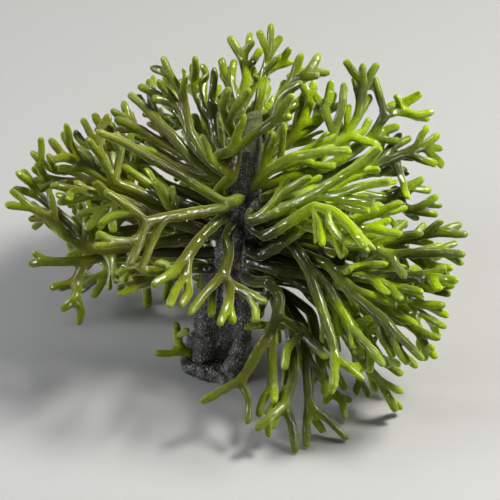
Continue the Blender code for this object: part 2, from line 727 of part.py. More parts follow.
def bridge(bm, one, other):
    """Faces between two rings with the same number of corners."""
    for k in range(len(one)):
        n = (k + 1) % len(one)
        bm.faces.new((one[k], one[n], other[n], other[k]))


def square_to(axis, up):
    """up, made square to axis."""
    return (up - up.project(axis)).normalized()


def seat_ring(bm, frond, carrier):
    """A frond's first ring, closed by a middle point, each laid on the carrier's surface."""
    root = frond.points[0]
    axis = (frond.points[1] - root).normalized()
    up = square_to(axis, Vector((0, 0, 1)) if abs(axis.z) < 0.9 else Vector((1, 0, 0)))
    corners = ring(bm, root, axis, up, frond.radius[0])
    middle = bm.verts.new(root * METRES)
    for vert in [*corners, middle]:
        start = vert.co / METRES + axis * 7.0
        hit, _, _, _ = carrier.ray_cast(start, -axis, 16.0)
        place = start - axis * 7.0 if hit is None else hit + axis * SEAT_GAP
        vert.co = place * METRES
    for k in range(SIDES):
        bm.faces.new((corners[k], middle, corners[(k + 1) % SIDES]))
    return corners, middle, axis, up


def lift_clear(name, bm, seat, way, carrier):
    """Moves a seat's corners outwards until the piece no longer cuts into its carrier."""
    bmesh.ops.triangulate(bm, faces=bm.faces)
    bm.verts.index_update()
    faces = [tuple(v.index for v in f.verts) for f in bm.faces]
    for _ in range(16):
        shape = BVHTree.FromPolygons([v.co / METRES for v in bm.verts], faces)
        clear = not shape.overlap(carrier)
        for vert in seat:
            vert.co += way * SEAT_LIFT * METRES
        if clear:
            return
    print("seat not clear:", name)


def grow_chain(bm, frond, start, first, loop, up):
    """Skins the branch from a ring at point start along its chain, then its fork or its tip."""
    chain = [start, first]
    while len(frond.children(chain[-1])) == 1:
        chain.append(frond.children(chain[-1])[0])
    points = [frond.points[k] for k in chain]
    kids = frond.children(chain[-1])
    ahead = [(q - p).normalized() for p, q in zip(points, points[1:])]
    stops, last = [], points[0]
    for k in range(1, len(points) - 1):
        bend = ahead[k - 1].angle(ahead[k])
        if bend > math.radians(STRAIGHT_DEG) or (points[k + 1] - last).length > LONGEST_SPAN:
            stops.append((points[k], (ahead[k - 1] + ahead[k]).normalized(), frond.radius[chain[k]]))
            last = points[k]
    end, end_axis = points[-1], ahead[-1]
    normal, twist, shift = None, 0.0, 0
    if kids:
        aims = [(frond.points[k] - end).normalized() for k in kids]
        normal = square_to(end_axis, aims[0].cross(aims[1]))
        carried_up = up
        for _, axis, _ in [*stops, (end, end_axis, 0)]:
            carried_up = square_to(axis, carried_up)
        side = end_axis.cross(carried_up)
        turn = math.atan2(normal.dot(side), normal.dot(carried_up))
        shift = round(turn / (2 * math.pi / SIDES))
        twist = turn - shift * 2 * math.pi / SIDES
    for number, (place, axis, radius) in enumerate(stops):
        up = square_to(axis, up)
        part = twist * (number + 1) / (len(stops) + 1)
        turned = up * math.cos(part) + axis.cross(up) * math.sin(part)
        corners = ring(bm, place, axis, turned, radius)
        bridge(bm, loop, corners)
        loop = corners
    if not kids:
        end_tip(bm, end, end_axis, square_to(end_axis, up), frond.radius[chain[-1]], loop)
        return
    radius = frond.radius[chain[-1]]
    corners = ring(bm, end, end_axis, normal, radius, FORK_WIDTH)
    bridge(bm, loop, [corners[(k - shift) % SIDES] for k in range(SIDES)])
    side = end_axis.cross(normal)
    pair = sorted(zip(kids, aims), key=lambda kid: -kid[1].dot(side))
    between = (aims[0] + aims[1]).normalized()
    half = aims[0].angle(aims[1]) / 2
    shortest = min((frond.points[k] - end).length for k in kids)
    crotch = min(radius / max(math.sin(half), 0.2), shortest * 0.5)
    upper = bm.verts.new((end + between * crotch + normal * radius * 0.5) * METRES)
    lower = bm.verts.new((end + between * crotch - normal * radius * 0.5) * METRES)
    loops = (
        [*corners[:4], lower, upper],
        [corners[0], upper, lower, *corners[3:]],
    )
    for (kid, _), entry in zip(pair, loops):
        grow_chain(bm, frond, chain[-1], kid, entry, normal)


def end_tip(bm, end, axis, up, radius, loop):
    """Closes a finger with a shoulder ring and a blunt point."""
    corners = ring(bm, end - axis * radius * 0.75, axis, up, radius * 0.96)
    bridge(bm, loop, corners)
    point = bm.verts.new(end * METRES)
    for k in range(SIDES):
        bm.faces.new((corners[k], corners[(k + 1) % SIDES], point))


def frond_object(frond, carrier, material):
    bm = bmesh.new()
    loop, middle, axis, up = seat_ring(bm, frond, carrier)
    grow_chain(bm, frond, 0, 1, loop, up)
    lift_clear(frond.name, bm, [*loop, middle], axis, carrier)
    bmesh.ops.recalc_face_normals(bm, faces=bm.faces)
    return new_object(frond.name, bm, material)


def holdfast_object(material):
    """A low mound with a flat underside and a lumpy shoulder."""
    bm = bmesh.new()
    middle = Vector((*FOOT_CENTRE, 0))
    levels = ((0.0, 1.0), (0.45, 1.04), (0.85, 0.88), (1.0, 0.62))
    loops = []
    for height, share in levels:
        loop = []
        for k, (x, y) in enumerate(HOLDFAST_OUTLINE):
            lump = 1.0 + 0.05 * math.sin(2.1 * k + 5 * height) if height else 1.0
            flat = (Vector((x, y, 0)) - middle) * share * lump
            rise = height * HOLDFAST_HEIGHT * (1.0 + 0.12 * math.sin(1.7 * k))
            loop.append(bm.verts.new((middle + flat + Vector((0, 0, rise))) * METRES))
        loops.append(loop)
    for one, other in zip(loops, loops[1:]):
        bridge(bm, one, other)
    bm.faces.new(loops[0])
    top = bm.verts.new((middle + Vector((0, 0, HOLDFAST_HEIGHT * 1.05))) * METRES)
    for k in range(len(loops[-1])):
        bm.faces.new((loops[-1][k], loops[-1][(k + 1) % len(loops[-1])], top))
    bmesh.ops.triangulate(bm, faces=bm.faces)
    bmesh.ops.recalc_face_normals(bm, faces=bm.faces)
    return new_object("holdfast", bm, material)


def stipe_object(name, carrier, material):
    """A felted stipe: a lumpy eight-sided stem that stands on the holdfast and ends in a dome."""
    bm = bmesh.new()
    chain = [(Vector(p[:3]), p[3]) for p in STIPES[name]]
    loops = []
    up = Vector((0, 1, 0))
    for k, (place, radius) in enumerate(chain):
        before = chain[max(k - 1, 0)][0]
        after = chain[min(k + 1, len(chain) - 1)][0]
        axis = (after - before).normalized()
        up = square_to(axis, up)
        side = axis.cross(up)
        loop = []
        for n in range(STIPE_SIDES):
            angle = 2 * math.pi * n / STIPE_SIDES
            lump = 1.0 + 0.05 * math.sin(2.3 * k + 1.9 * n)
            offset = (up * math.cos(angle) + side * math.sin(angle)) * radius * 1.02 * lump
            loop.append(bm.verts.new((place + offset) * METRES))
        loops.append(loop)
    for vert in loops[0]:
        start = vert.co / METRES + Vector((0, 0, 12))
        hit, _, _, _ = carrier.ray_cast(start, Vector((0, 0, -1)), 30.0)
        height = hit.z + SEAT_GAP if hit else SEAT_GAP
        vert.co.z = height * METRES
    foot = chain[0][0]
    hit, _, _, _ = carrier.ray_cast(foot + Vector((0, 0, 12)), Vector((0, 0, -1)), 30.0)
    base = bm.verts.new(Vector((foot.x, foot.y, hit.z + SEAT_GAP)) * METRES)
    for one, other in zip(loops, loops[1:]):
        bridge(bm, one, other)
    tip, tip_radius = chain[-1]
    axis = (tip - chain[-2][0]).normalized()
    crown = (tip + axis * tip_radius * 0.7) * METRES
    dome = [bm.verts.new(crown + (vert.co - tip * METRES) * 0.55) for vert in loops[-1]]
    bridge(bm, loops[-1], dome)
    bm.faces.new(dome)
    for n in range(STIPE_SIDES):
        bm.faces.new((loops[0][n], loops[0][(n + 1) % STIPE_SIDES], base))
    lift_clear(name, bm, [*loops[0], base], Vector((0, 0, 1)), carrier)
    bmesh.ops.recalc_face_normals(bm, faces=bm.faces)
    return new_object(name, bm, material)


def surface_of(made):
    """A ray-castable copy of an object's surface, in millimetres."""
    mesh = made.data
    corners = [v.co / METRES for v in mesh.vertices]
    return BVHTree.FromPolygons(corners, [tuple(p.vertices) for p in mesh.polygons])


def finish(name, colour, roughness):
    """A material with its colour, roughness and no metal."""
    made = bpy.data.materials.new(name)
    made.use_nodes = True
    shader = made.node_tree.nodes["Principled BSDF"]
    shader.inputs["Base Color"].default_value = (*colour, 1.0)
    shader.inputs["Roughness"].default_value = roughness
    shader.inputs["Metallic"].default_value = 0.0
    return made


def main():
    for old in list(bpy.data.objects):
        bpy.data.objects.remove(old, do_unlink=True)
    whole = bpy.data.objects.new("codium", None)
    bpy.context.scene.collection.objects.link(whole)
    whole.location = (-FOOT_CENTRE[0] * METRES, -FOOT_CENTRE[1] * METRES, 0)

    felt = finish("grey felt", (0.045, 0.045, 0.035), 0.85)
    green = finish("wet olive green", (0.14, 0.20, 0.02), 0.35)
    holdfast = holdfast_object(felt)
    ground = surface_of(holdfast)
    carriers = {name: surface_of(stipe_object(name, ground, felt)) for name in STIPES}

    fronds = [drawn_frond(name, *how) for name, how in FRONDS.items()]
    fronds += [back_frond(name, *how) for name, how in BACK_FRONDS.items()]
    for frond in fronds:
        frond.set_radii()
    ease_apart(fronds)
    for frond in fronds:
        frond_object(frond, carriers[frond.stipe], green)


main()
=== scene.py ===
# %% [markdown]
# # Codium, a branching green seaweed
#
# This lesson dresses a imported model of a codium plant. The model already has every main form: a
# spongy holdfast, three felted stipes and the fronds that fork from them, all as plain flat-faced
# solids. The camera comes first, because some fingers are placed by what it sees. Then each solid
# is copied and turned into a wet, velvety plant: more fingers grow from the fronds, the forms are
# rounded and the stipes get their gritty felt. The materials and the light come last.

# %% Load the model
import heapq
import math
import random

import bmesh
import bpy
from mathutils import Matrix, Vector
from mathutils.bvhtree import BVHTree


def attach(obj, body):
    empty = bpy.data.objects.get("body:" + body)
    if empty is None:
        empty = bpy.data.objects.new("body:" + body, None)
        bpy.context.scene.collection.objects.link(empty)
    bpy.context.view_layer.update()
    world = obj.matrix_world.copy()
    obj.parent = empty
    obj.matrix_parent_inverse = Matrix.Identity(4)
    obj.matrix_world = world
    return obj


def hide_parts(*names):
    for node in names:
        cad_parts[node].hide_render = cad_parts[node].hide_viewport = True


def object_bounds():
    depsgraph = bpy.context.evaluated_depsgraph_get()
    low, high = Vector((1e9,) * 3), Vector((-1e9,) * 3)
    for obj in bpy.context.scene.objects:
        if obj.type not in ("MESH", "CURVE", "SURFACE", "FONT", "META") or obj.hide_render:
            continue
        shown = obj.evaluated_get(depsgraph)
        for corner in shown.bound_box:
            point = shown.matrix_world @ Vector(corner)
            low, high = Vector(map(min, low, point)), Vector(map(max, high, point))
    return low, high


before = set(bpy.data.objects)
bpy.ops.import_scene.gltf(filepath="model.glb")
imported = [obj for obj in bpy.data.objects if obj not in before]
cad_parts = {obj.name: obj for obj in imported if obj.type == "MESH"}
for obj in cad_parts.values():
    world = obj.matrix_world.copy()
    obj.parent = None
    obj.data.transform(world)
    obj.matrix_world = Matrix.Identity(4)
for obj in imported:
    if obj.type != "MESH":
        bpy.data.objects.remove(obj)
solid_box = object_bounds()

MM = 0.001
chance = random.Random(7)
fronds = sorted(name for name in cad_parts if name.startswith(("frond", "sprout")))
stems = sorted(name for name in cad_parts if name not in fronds)
print(len(fronds), "fronds on", stems)

# %% [markdown]
# ## The camera
#
# The plant is seen from above the floor, at 42 degrees, through a long lens that keeps near and
# far branches the same size. The lens is worked out from the width of the picture where the
# fronds are, 250 mm. The aim is the middle of the bush, so the shift stays at zero.

# %% The camera
VIEW_TILT = math.radians(42)
CAMERA_AWAY = 2.5
PICTURE_WIDTH = 0.250
AIM = Vector((17, 1.8, 76)) * MM
TOWARDS_EYE = Vector((0, -math.cos(VIEW_TILT), math.sin(VIEW_TILT)))
PICTURE_UP = Vector((0, math.sin(VIEW_TILT), math.cos(VIEW_TILT)))
PICTURE_RIGHT = Vector((1, 0, 0))

camera_data = bpy.data.cameras.new("camera")
camera_data.lens = camera_data.sensor_width * CAMERA_AWAY / PICTURE_WIDTH
camera_data.clip_end = 20
camera = bpy.data.objects.new("camera", camera_data)
bpy.context.scene.collection.objects.link(camera)
camera.location = AIM + TOWARDS_EYE * CAMERA_AWAY
camera.rotation_euler = (math.pi / 2 - VIEW_TILT, 0, 0)
bpy.context.scene.camera = camera
print("lens", round(camera_data.lens), "mm")

# %% [markdown]
# ## A copy to work on
#
# Each solid arrives as loose triangles and has to stay as it is. The copy is merged into one skin,
# and its triangles are paired back into the four-sided faces that subdivision likes.


# %% A clean copy
def select_nothing():
    """Leaves edit mode and deselects every object."""
    if bpy.context.object and bpy.context.object.mode != "OBJECT":
        bpy.ops.object.mode_set(mode="OBJECT")
    for old in bpy.context.selected_objects:
        old.select_set(False)


def working_copy(node, name):
    """A merged copy of a solid with four-sided faces, alone in the selection, in edit mode."""
    select_nothing()
    piece = bpy.data.objects.new(name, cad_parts[node].data.copy())
    piece.data.materials.clear()
    bpy.context.scene.collection.objects.link(piece)
    bpy.context.view_layer.objects.active = piece
    piece.select_set(True)
    bpy.ops.object.mode_set(mode="EDIT")
    bpy.ops.mesh.select_all(action="SELECT")
    bpy.ops.mesh.remove_doubles(threshold=0.01 * MM)
    bpy.ops.mesh.tris_convert_to_quads(
        face_threshold=math.radians(60), shape_threshold=math.radians(75)
    )
    return piece


print(sum(len(solid.data.polygons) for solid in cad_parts.values()), "triangles to start from")

# %% [markdown]
# ## Room to grow
#
# In the water a finger grows where it finds room, and a frond is oldest where it leaves its stipe.
# So later steps ask how far a point is from the nearest solid, or from the stipes and the holdfast.
# Two search trees over the solids' faces answer that much faster than a look at every face.


# %% Surfaces to measure from
def surface_of(nodes):
    """One surface of several solids, for measuring how far a point is from them."""
    corners, faces = [], []
    for node in nodes:
        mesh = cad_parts[node].data
        first = len(corners)
        corners += [v.co.copy() for v in mesh.vertices]
        faces += [tuple(first + k for k in p.vertices) for p in mesh.polygons]
    return BVHTree.FromPolygons(corners, faces)


plant_surface = surface_of(fronds + stems)
stem_surface = surface_of(stems)


def gap_to_stems(point):
    """How far a point is from the stipes and the holdfast."""
    return stem_surface.find_nearest(point)[3]


print("aim to the nearest stipe:", round(gap_to_stems(AIM) / MM, 1), "mm")

# %% [markdown]
# ## Cutting the long spans
#
# A straight branch comes as long faces. They are cut across every few millimetres, so that a
# finger can grow from two faces of about its own width. By hand this would be a loop cut. Here
# the edges that run side by side along a branch are found by stepping across the four-sided
# faces, and subdividing them makes the same cut.

# %% Cutting across a branch
CUT_EVERY = 4.6 * MM
SPARE = 0.35  # the part of a cut that a span may be too long


def side_by_side(grid):
    """The edges of a mesh in groups, each group running side by side across the faces."""
    leader = {edge: edge for edge in grid.edges}

    def first_of(edge):
        while leader[edge] is not edge:
            edge = leader[edge]
        return edge

    for face in grid.faces:
        if len(face.edges) == 4:
            a, b, c, d = face.edges
            leader[first_of(a)] = first_of(c)
            leader[first_of(b)] = first_of(d)
    groups = {}
    for edge in grid.edges:
        groups.setdefault(first_of(edge), []).append(edge)
    return list(groups.values())


def cut_long_spans(piece):
    """Cuts every stretch of branch that is longer than a finger is wide, the longest first."""
    while True:
        bpy.ops.mesh.select_all(action="DESELECT")
        grid = bmesh.from_edit_mesh(piece.data)
        wanted = {}
        for group in side_by_side(grid):
            mean = sum(edge.calc_length() for edge in group) / len(group)
            wanted.setdefault(math.ceil(mean / CUT_EVERY - SPARE) - 1, []).extend(group)
        cuts = max(wanted)
        if cuts < 1:
            return
        for edge in wanted[cuts]:
            edge.select_set(True)
        bmesh.update_edit_mesh(piece.data)
        bpy.ops.mesh.subdivide(number_cuts=cuts)


# %% [markdown]
# ## Walking along a branch
#
# A walk over the edges measures how far each corner is from the frond's root and how far it is
# from the nearest fingertip. The two lengths steer where new fingers grow, and later how the green
# turns from dark at the root to bright at the tip.


# %% Distances over the skin
def walk(mesh, starts):
    """The shortest way over the edges from the start corners to every corner, and the neighbours."""
    near = [[] for _ in mesh.vertices]
    for edge in mesh.edges:
        a, b = edge.vertices
        length = (mesh.vertices[a].co - mesh.vertices[b].co).length
        near[a].append((b, length))
        near[b].append((a, length))
    far = [math.inf] * len(near)
    for k in starts:
        far[k] = 0.0
    queue = [(0.0, k) for k in starts]
    while queue:
        here, k = heapq.heappop(queue)
        if here > far[k]:
            continue
        for other, length in near[k]:
            if here + length < far[other]:
                far[other] = here + length
                heapq.heappush(queue, (far[other], other))
    return far, near


def measure(mesh):
    """For every corner the way from the root and from the nearest tip, and the number of tips."""
    root = min(range(len(mesh.vertices)), key=lambda k: gap_to_stems(mesh.vertices[k].co))
    from_root, near = walk(mesh, [root])
    tips = [k for k in range(len(near)) if all(from_root[k] > from_root[n] for n, _ in near[k])]
    return from_root, walk(mesh, tips)[0], len(tips)


# %% [markdown]
# ## Where more fingers grow
#
# The real fronds fork more often than the solids do: most branches carry another finger or two,
# long ones inside the bush and short ones near the ends. A finger leaves from the edge between two
# neighbouring faces, at its full width. The long ones leave on the side that faces the heart of the
# bush, where they fill it and don't hide the clean lines of the outer branches. The short ones may
# look a little outwards, and both may leave wherever the camera doesn't see the skin.

# %% Where a finger fits
# For each kind: how far from the root it may leave, how far it may look out of the bush, as a
# cosine, its length in millimetres, and how many a frond gets, some at first and more for each tip.
LONG = {"from_root": 9 * MM, "outward": -0.3, "lengths": (12, 24), "some": 4, "per_tip": 1.1}
SHORT = {"from_root": 16 * MM, "outward": 0.25, "lengths": (8, 13), "some": 5, "per_tip": 1.8}
LONG_FROM_TIP = 26 * MM
TIP_ROOM = 8 * MM
START_LENGTHS = (2.8 * MM, 5.4 * MM)  # of the edge that a finger leaves from
LARGEST_START = 15 * MM * MM  # of each of its two faces
ALONG_BRANCH = 0.85  # the part of the edge that leads on along the branch
SHARPEST_EDGE = 0.3  # the cosine between the two faces
UNSEEN = -0.45  # the cosine to the eye, under which the skin looks away from it
HEART = Vector((10, 12, 70)) * MM


def kind_at(left):
    """The kind of finger that grows where so much of the branch is left."""
    return LONG if left > LONG_FROM_TIP else SHORT


def finger_places(mesh, from_root, to_tip, clean):
    """Middles of two side-by-side faces, with the way along the branch and the way out of it."""
    pairs = {}
    for face in mesh.polygons:
        if len(face.vertices) == 4 and face.area < LARGEST_START:
            for key in face.edge_keys:
                pairs.setdefault(key, []).append(face.normal)
    places = []
    for (a, b), normals in pairs.items():
        way = mesh.vertices[b].co - mesh.vertices[a].co
        climb = from_root[b] - from_root[a]
        if len(normals) != 2 or abs(climb) < ALONG_BRANCH * way.length:
            continue
        if not START_LENGTHS[0] < way.length < START_LENGTHS[1]:
            continue
        left = min(to_tip[a], to_tip[b])
        kind = kind_at(left)
        if from_root[a] < kind["from_root"] or left < TIP_ROOM:
            continue
        if normals[0].dot(normals[1]) < SHARPEST_EDGE:
            continue
        out = (normals[0] + normals[1]).normalized()
        middle = (mesh.vertices[a].co + mesh.vertices[b].co) / 2
        outside = out.dot((middle - HEART).normalized())
        seen = out.dot(TOWARDS_EYE) >= UNSEEN
        if seen and (clean or outside > kind["outward"]):
            continue
        places.append((middle, (way * math.copysign(1, climb)).normalized(), out, left))
    return places


# %% [markdown]
# A finger needs free water. Its path keeps away from every solid and from every finger that grew
# before it, and also from the sides of the model's box, so that the plant doesn't get any bigger.

# %% Free water
FREE_ROOM = 2.5 * MM  # from a finger's middle line to the nearest solid
BETWEEN_FINGERS = 1.7 * FREE_ROOM  # from one finger's middle line to another's
EDGE_ROOM = 5.5 * MM
taken = []


def is_free(points):
    """True where a finger through these points keeps clear of the solids and other fingers."""
    low, high = solid_box
    for point in points:
        if not all(low[k] + EDGE_ROOM < point[k] < high[k] - EDGE_ROOM for k in range(3)):
            return False
        if plant_surface.find_nearest(point)[3] < FREE_ROOM:
            return False
        if any((point - other).length < BETWEEN_FINGERS for other in taken):
            return False
    return True


# %% [markdown]
# ## The path of a finger
#
# A codium finger leaves its branch at a slant and straightens towards the branch's end, and most of
# the longer ones fork once more into two prongs. The path is planned first, as short steps, so that
# it can be tested before anything is modelled. Small random turns keep the fingers from looking
# combed.

# %% Planning a finger
STEP = 4.2 * MM
SLANTS = (0.7, 0.95)  # outwards, for one step along the branch
STRAY = 0.15  # either way, at the start
BEND = 0.12  # either way, with each step
STRAIGHTEN = (0.1, 0.3)  # towards the branch's end, with each step
SHORTEST_FORKED = 10 * MM
FORKED_SHARE = 0.75
PRONG_LENGTHS = (5, 7.5)  # millimetres
PRONG_SLANTS = (0.75, 0.45)  # aside, for one step ahead


def any_way(size):
    """A small random turn."""
    return Vector([chance.uniform(-size, size) for _ in range(3)])


def finger_path(along, out, length):
    """Short steps that leave a branch at a slant and lean a little towards its end."""
    lean = along + out * chance.uniform(*SLANTS)
    lean += any_way(STRAY)
    count = max(2, round(length / STEP))
    bend = any_way(BEND) + along * chance.uniform(*STRAIGHTEN)
    return [(lean + bend * k).normalized() * length / count for k in range(count)]


def prong_steps(ahead, aside, length):
    """The two steps of one prong, which leaves the end of a finger at a slant and straightens."""
    return [(ahead + aside * slant).normalized() * length / 2 for slant in PRONG_SLANTS]


def plan_finger(along, out, length):
    """The steps of a finger, and the steps of its two prongs where it forks."""
    forks = length > SHORTEST_FORKED and chance.random() < FORKED_SHARE
    prong = chance.uniform(*PRONG_LENGTHS) * MM
    steps = finger_path(along, out, length - prong if forks else length)
    if not forks:
        return steps, []
    # The prongs part in the plane of the branch and its finger.
    ahead = steps[-1].normalized()
    across = out.cross(along).cross(ahead).normalized()
    return steps, [prong_steps(ahead, across * side, prong) for side in (1, -1)]


def knots_of(start, steps):
    """The places that a finger reaches after each step."""
    return [start + sum(steps[:k], Vector()) for k in range(1, len(steps) + 1)]


# %% [markdown]
# ## Growing a finger
#
# A finger grows from the side of a branch as a person would model it. The two faces are extruded,
# turned and narrowed, a few times over. At a fork each of the two goes on alone as a prong, and
# every end is closed with a blunt dome. The end faces have to follow the finger as it turns. Without
# a window `transform.rotate` turns the other way, so each angle is given with its sign changed,
# about the middle of the end.

# %% Turning and extruding
SMALLEST_TURN = 0.01  # radians, under which a turn is left out
TURN_INTO_STEP = 1.5  # how strongly an end turns to face the step that it took
DOME = ((0.47, 0.8), (0.26, 0.47))  # how far ahead each ring is and how wide, in radii


def turn_and_narrow(piece, before, after, radius):
    """Turns the selected end from one direction to another and scales it to a radius."""
    grid = bmesh.from_edit_mesh(piece.data)
    corners = [v.co for v in grid.verts if v.select]
    middle = sum(corners, Vector()) / len(corners)
    for axis, angle in zip("XYZ", before.rotation_difference(after).to_euler("XYZ")):
        if abs(angle) > SMALLEST_TURN:
            bpy.ops.transform.rotate(value=-angle, orient_axis=axis, center_override=middle)
    size = radius / (sum((corner - middle).length for corner in corners) / len(corners))
    bpy.ops.transform.resize(value=(size, size, size), center_override=middle)


def extrude_along(piece, facing, steps, radii):
    """Extrudes the selected end along the steps, turning it and giving it a radius after each."""
    for step, radius in zip(steps, radii):
        bpy.ops.mesh.extrude_region_move(TRANSFORM_OT_translate={"value": step})
        turned = (facing + step.normalized() * TURN_INTO_STEP).normalized()
        bpy.ops.transform.tosphere(value=1.0)
        turn_and_narrow(piece, facing, turned, radius)
        facing = turned
    return facing


def round_end(piece, facing, radius):
    """Closes a finger with a dome of two rings."""
    for ahead, share in DOME:
        bpy.ops.mesh.extrude_region_move(TRANSFORM_OT_translate={"value": facing * ahead * radius})
        turn_and_narrow(piece, facing, facing, radius * share)


# %% [markdown]
# A prong grows from one of the two faces alone. Its end is a square of four corners, and subdivision
# rounds a square off more than the six corners of a whole finger, so a prong is drawn a little wider.

# %% Growing one finger
FINGER_RADIUS = 2.35 * MM
THINNEST = 0.88  # radii
FOOT_WIDTH = 1.1  # radii
PRONG_WIDTH = 1.18  # radii
FACES_AHEAD = 0.3  # the cosine over which a face looks the way that a finger grows


def select_faces_at(piece, places, facing):
    """Selects the face nearest to each place among those that look the given way."""
    bpy.ops.mesh.select_all(action="DESELECT")
    grid = bmesh.from_edit_mesh(piece.data)
    for place in places:
        ahead = [f for f in grid.faces if f.normal.dot(facing) > FACES_AHEAD and not f.select]
        min(ahead, key=lambda face: (face.calc_center_median() - place).length).select_set(True)
    bmesh.update_edit_mesh(piece.data)


def grow_finger(piece, middle, out, steps, prongs):
    """Extrudes the two faces on both sides of a place, and each on its own where the finger forks."""
    select_faces_at(piece, [middle, middle], out)
    radius = FINGER_RADIUS * chance.uniform(THINNEST, 1.0)
    radii = [radius * FOOT_WIDTH] + [radius] * (len(steps) - 1)
    facing = extrude_along(piece, out, steps, radii)
    if not prongs:
        round_end(piece, facing, radius)
        return
    grid = bmesh.from_edit_mesh(piece.data)
    ends = [face.calc_center_median() for face in grid.faces if face.select]
    if (ends[0] - ends[1]).dot(prongs[0][0] - prongs[1][0]) < 0:
        ends.reverse()
    for end, prong in zip(ends, prongs):
        select_faces_at(piece, [end], facing)
        prong_facing = extrude_along(piece, facing, prong, [radius * PRONG_WIDTH] * len(prong))
        round_end(piece, prong_facing, radius * PRONG_WIDTH)


# %% [markdown]
# ## Filling a frond with fingers
#
# The places are shuffled, so that the fingers don't all sit on the lowest part of a branch, and the
# long inner ones go first, because they need the most room. A frond with more tips gets more of
# them. None reaches much past the end of the branch that carries it.

# %% All the fingers of a frond
FINGER_SPACING = 6.5 * MM
LONGEST = 1.15  # of what is left of the branch
CLEAR_OF_BRANCH = 1.25  # the first knot is tested a little further out than it will be


def add_fingers(piece, clean):
    """Grows fingers on a frond where there is room: long ones inside first, then short ones."""
    bpy.ops.object.mode_set(mode="OBJECT")
    from_root, to_tip, tips = measure(piece.data)
    places = finger_places(piece.data, from_root, to_tip, clean)
    chance.shuffle(places)
    bpy.ops.object.mode_set(mode="EDIT")
    grown = 0
    for kind in (LONG, SHORT):
        for middle, along, out, left in places:
            if grown > kind["some"] + tips * kind["per_tip"]:
                break
            if kind_at(left) is not kind:
                continue
            length = min(chance.uniform(*kind["lengths"]) * MM, left * LONGEST)
            if any((middle - other).length < FINGER_SPACING for other in taken):
                continue
            steps, prongs = plan_finger(along, out, length)
            knots = knots_of(middle, steps)
            ends = [knots_of(knots[-1], prong) for prong in prongs]
            knots[0] = middle + steps[0] * CLEAR_OF_BRANCH
            if is_free(knots + [knot for end in ends for knot in end]):
                grow_finger(piece, middle, out, steps, prongs)
                taken.extend([middle] + knots + [end[-1] for end in ends])
                grown += 1
    return grown


# %% [markdown]
# ## Rounding a frond
#
# A real frond is a soft round cord of packed threads, a little uneven, and it grows out of the
# felt without a seam. So the root is pushed into the stipe that carries it. The two lengths are
# kept on the corners now, because the modifiers carry them over to all the corners they add. The
# young shoots at the foot are green all over, so theirs are stored as lengths near a tip.

# %% The root and the lengths
ROOT_DEPTH = 2.6 * MM
# Past this length from the root the painted shade has gone.
ALL_GREEN = 15 * MM  # from the root, where the dark has gone
SHOOT_AGE = 0.3  # of the age that a shoot's length would give it


def push_root_in(piece):
    """Extrudes the seat of a frond into the stipe that carries it."""
    bpy.ops.mesh.select_all(action="DESELECT")
    grid = bmesh.from_edit_mesh(piece.data)
    seat = min(grid.verts, key=lambda v: gap_to_stems(v.co))
    inward = sum((face.normal for face in seat.link_faces), Vector()).normalized()
    for face in seat.link_faces:
        face.select_set(True)
    bmesh.update_edit_mesh(piece.data)
    bpy.ops.mesh.extrude_region_move(TRANSFORM_OT_translate={"value": inward * ROOT_DEPTH})


def store_lengths(piece, young):
    """Keeps the two lengths on the corners, in centimetres, for the green to read."""
    from_root, to_tip, _ = measure(piece.data)
    if young:
        from_root = [length + ALL_GREEN for length in from_root]
        to_tip = [length * SHOOT_AGE for length in to_tip]
    for name, lengths in (("from_root", from_root), ("to_tip", to_tip)):
        layer = piece.data.attributes.new(name, "FLOAT", "POINT")
        layer.data.foreach_set("value", [100 * length for length in lengths])


# %% [markdown]
# The rounding and the unevenness are modifiers, applied one by one. A Displace modifier gives the
# frond a slow wander, a Subdivision Surface rounds it, and a second Displace adds small swellings.
# A frond that has wandered out of the box of the solids is moved back, because the dressing may
# not make the plant bigger.


# %% Rounding and displacing
def clouds(name, size, depth):
    """A cloud texture for a Displace modifier, its clouds of a size and broken up to a depth."""
    texture = bpy.data.textures.new(name, "CLOUDS")
    texture.noise_scale = size
    texture.noise_depth = depth
    return texture


def displace(piece, texture, strength, direction="NORMAL"):
    """Moves the skin by a texture, about its middle grey."""
    wave = piece.modifiers.new("wave", "DISPLACE")
    wave.texture = texture
    wave.strength = strength
    wave.mid_level = 0.5
    wave.direction = direction
    wave.texture_coords = "LOCAL"
    bpy.ops.object.modifier_apply(modifier=wave.name)


def round_off(piece, levels):
    """Applies a subdivision surface."""
    smooth = piece.modifiers.new("round", "SUBSURF")
    smooth.levels = smooth.render_levels = levels
    bpy.ops.object.modifier_apply(modifier=smooth.name)


def keep_inside(piece):
    """Moves a frond back by what its wander took it out of the box of the solids."""
    back = []
    for k in range(3):
        places = [corner.co[k] for corner in piece.data.vertices]
        back.append(min(0, solid_box[1][k] - max(places)) + max(0, solid_box[0][k] - min(places)))
    piece.data.transform(Matrix.Translation(back))


# %% [markdown]
# ## Dressing every frond
#
# The foremost fronds, the crown and the young shoots stand free, and their solids already have each
# branch that they need, so they stay bare of more fingers. The fronds behind them, and those that
# draw the outline on the right, get fingers only where the camera doesn't see the skin. All the
# others get fingers wherever they fit. Before a cage is rounded it is fattened by what subdivision
# will take off.

# %% All the fronds
BARE_FRONDS = (
    "frond_front_left", "frond_front_fan", "frond_front_centre", "frond_mid_stalk",
    "frond_left_low", "frond_crown", "frond_drape", "sprouts", "sprout_hanging",
)
CLEAN_FRONDS = (
    "frond_upper_left", "frond_right_arc", "frond_right_bright", "frond_right_hang",
    "frond_right_diagonal", "frond_right_spear", "frond_right_hand", "frond_right_slope",
    "frond_drape_inner", "frond_drape_outer", "frond_drape_right", "frond_floor",
)
FATTEN = 0.2 * MM
WANDER_BY = 3.0 * MM
SWELL_BY = 0.7 * MM

wander = clouds("wander", 26 * MM, 2)
wander.cloud_type = "COLOR"
swelling = clouds("swelling", 4.5 * MM, 1)


